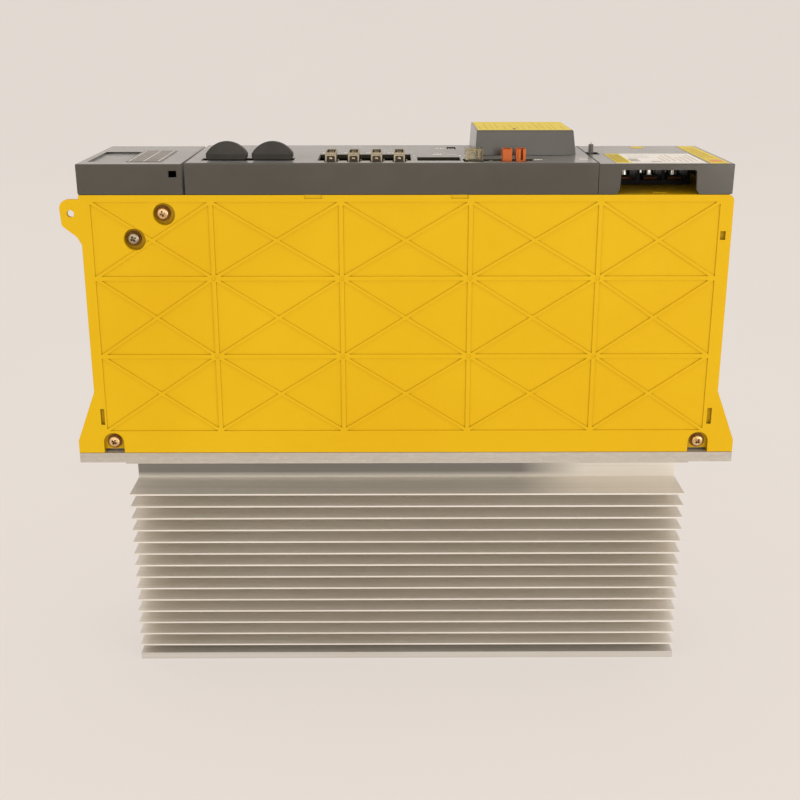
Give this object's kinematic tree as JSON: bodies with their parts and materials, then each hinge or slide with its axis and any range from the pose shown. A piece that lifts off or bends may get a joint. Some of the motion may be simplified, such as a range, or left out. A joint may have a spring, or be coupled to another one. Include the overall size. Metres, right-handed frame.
{
  "type": "servo drive",
  "caption": "Panel-mounted servo drive: moulded case on a finned heat sink, hinged terminal covers, signal connectors and a battery compartment.",
  "frame": {"origin": "centre of the box round the drive, at the bottom of its heat sink", "axes": "+Z out of the drive's front face, +X to the drive's top end, +Y to the drive's left side"},
  "size_m": [0.38, 0.09, 0.3177],
  "materials": {
    "raw_aluminium": "extruded, sawn ends",
    "case_yellow": "moulded, satin",
    "cover_grey": "moulded, fine texture",
    "screw_gold": "passivated steel, golden",
    "screw_zinc": "zinc plated",
    "bracket_steel": "zinc plated sheet",
    "module_black": "moulded",
    "board_green": "solder resist",
    "capacitor_sleeve": "shrink sleeve",
    "relay_case": "moulded",
    "sensor_body": "moulded",
    "ferrite": "sintered",
    "bar_copper": "tinned copper",
    "terminal_black": "moulded",
    "terminal_screw": "nickel plated",
    "fan_black": "moulded",
    "fan_windings": "enamelled wire",
    "shell_metal": "nickel plated",
    "insert_dark": "moulded",
    "header_clear": "clear moulding",
    "header_orange": "moulded",
    "led_green": "clear coloured lens",
    "display_dark": "smoked window",
    "cell_sleeve": "shrink sleeve",
    "label_white": "printed film",
    "label_grey": "printed clear film",
    "label_yellow": "printed film",
    "rubber_black": "moulded",
    "pin_steel": "ground"
  },
  "bodies": {
    "chassis": {"heat_sink": "raw_aluminium", "case_right": "case_yellow", "case_left": "case_yellow", "hinge_ears": "case_yellow", "case_screws": "screw_gold", "foot_screws": "screw_gold", "end_brackets": "bracket_steel", "bracket_screws": "screw_zinc", "power_module_1": "module_black", "power_module_2": "module_black", "module_screws": "screw_zinc", "power_board": "board_green", "link_capacitors": "capacitor_sleeve", "relays": "relay_case", "current_sensors": "sensor_body", "transformer": "ferrite", "riser_board": "board_green", "dc_bus_bars": "bar_copper", "motor_bus_bars": "bar_copper", "dc_terminal_block": "terminal_black", "dc_terminal_screws": "terminal_screw", "motor_terminal_block": "terminal_black", "motor_terminal_screws": "terminal_screw", "fan_frame": "fan_black", "fan_stator": "fan_windings", "fan_screws": "screw_zinc", "front_cover": "cover_grey", "control_board": "board_green", "board_posts": "screw_zinc", "board_screws": "screw_zinc", "optical_receptacles": "terminal_black", "signal_shell_1": "shell_metal", "signal_shell_2": "shell_metal", "signal_shell_3": "shell_metal", "signal_shell_4": "shell_metal", "signal_insert_1": "insert_dark", "signal_insert_2": "insert_dark", "signal_insert_3": "insert_dark", "signal_insert_4": "insert_dark", "option_connector": "insert_dark", "clear_header": "header_clear", "orange_header_1": "header_orange", "orange_header_2": "header_orange", "status_led": "led_green", "status_display": "display_dark", "battery_tray": "cover_grey", "battery_pack": "cell_sleeve", "hinge_pins": "pin_steel"},
    "top_cover": {"top_terminal_cover": "cover_grey", "rating_label": "label_white", "caution_strip": "label_yellow", "dot_sticker": "label_yellow"},
    "latch": {"cover_latch": "cover_grey"},
    "bottom_cover": {"bottom_terminal_cover": "cover_grey", "wiring_label": "label_grey"},
    "battery_lid": {"battery_cover": "cover_grey", "battery_label": "label_yellow"},
    "cap_1": {"dust_cap_1": "rubber_black"},
    "cap_2": {"dust_cap_2": "rubber_black"},
    "rotor": {"fan_rotor": "fan_black"}
  },
  "joints": [
    {"name": "top_cover_hinge", "type": "hinge", "parent": "chassis", "child": "top_cover", "pos_m": [0.176, 0, 0.2897], "axis": [0, 1, 0], "range_deg": [0, 95]},
    {"name": "latch_slide", "type": "slide", "parent": "top_cover", "child": "latch", "axis": [1, 0, 0], "range_m": [0, 0.003], "stiffness_N_per_m": 300, "springref_m": -0.002},
    {"name": "bottom_cover_hinge", "type": "hinge", "parent": "chassis", "child": "bottom_cover", "pos_m": [-0.1774, 0, 0.2897], "axis": [0, -1, 0], "range_deg": [0, 95]},
    {"name": "battery_lid_lift", "type": "slide", "parent": "chassis", "child": "battery_lid", "axis": [0, 0, 1], "range_m": [0, 0.03]},
    {"name": "cap_1_pull", "type": "slide", "parent": "chassis", "child": "cap_1", "axis": [0, 0, 1], "range_m": [0, 0.03]},
    {"name": "cap_2_pull", "type": "slide", "parent": "chassis", "child": "cap_2", "axis": [0, 0, 1], "range_m": [0, 0.03]},
    {"name": "fan_spin", "type": "hinge", "parent": "chassis", "child": "rotor", "pos_m": [0.1633, 0, 0.185], "axis": [1, 0, 0], "continuous": true}
  ]
}
